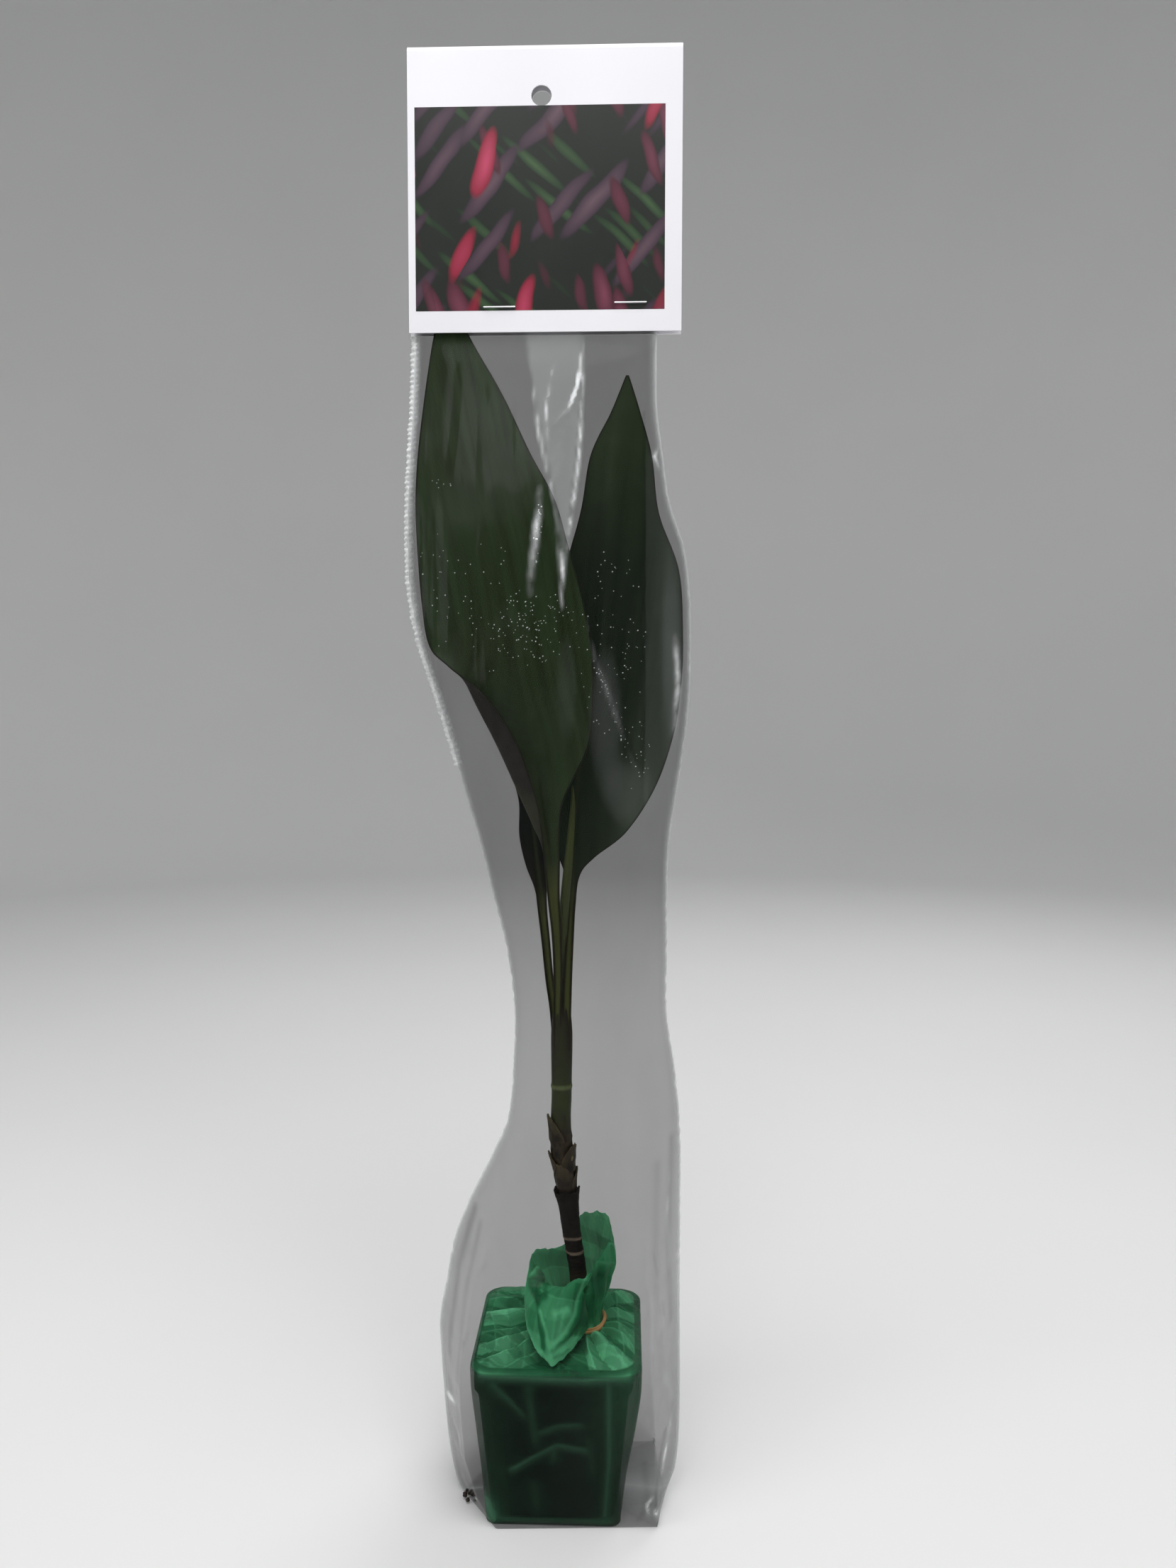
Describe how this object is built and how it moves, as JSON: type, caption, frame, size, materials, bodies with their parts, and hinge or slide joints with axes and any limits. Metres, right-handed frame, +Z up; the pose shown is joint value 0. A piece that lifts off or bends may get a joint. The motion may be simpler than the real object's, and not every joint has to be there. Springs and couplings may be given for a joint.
{
  "type": "potted ti plant in retail packaging",
  "caption": "Young potted ti plant on a short woody cane, in green pot film and a clear hanging sleeve under a folded header card.",
  "frame": {"origin": "centre of the pot's footprint on the surface the package stands on", "axes": "+Z up along the cane towards the hang hole, -Y towards the front of the card, +X to the viewer's right"},
  "size_m": [0.1133, 0.0692, 0.5819],
  "materials": {
    "coated_card": "white coated card with a printed picture panel, slightly glossy",
    "clear_film": "clear polypropylene film, wrinkled",
    "green_film": "thin translucent green film, creased",
    "band_rubber": "tan rubber",
    "pot_plastic": "black moulded nursery pot",
    "potting_mix": "damp dark potting mix",
    "cane_bark": "dark bark with pale leaf-scar rings",
    "shoot_skin": "green stem turning brown at the old leaf bases",
    "mature_leaf": "dark green leaf with a satin cuticle and purple underside",
    "young_leaf": "lime green rolled leaf",
    "staple_wire": "galvanised wire"
  },
  "bodies": {
    "root": {"header_card": "coated_card", "clear_sleeve": "clear_film", "green_wrap": "green_film", "rubber_band": "band_rubber", "pot": "pot_plastic", "soil": "potting_mix", "cane": "cane_bark", "shoot": "shoot_skin", "leaf_front": "mature_leaf", "leaf_right": "mature_leaf", "leaf_back": "mature_leaf", "spear_leaf": "young_leaf", "staple_left": "staple_wire", "staple_right": "staple_wire"}
  },
  "joints": []
}
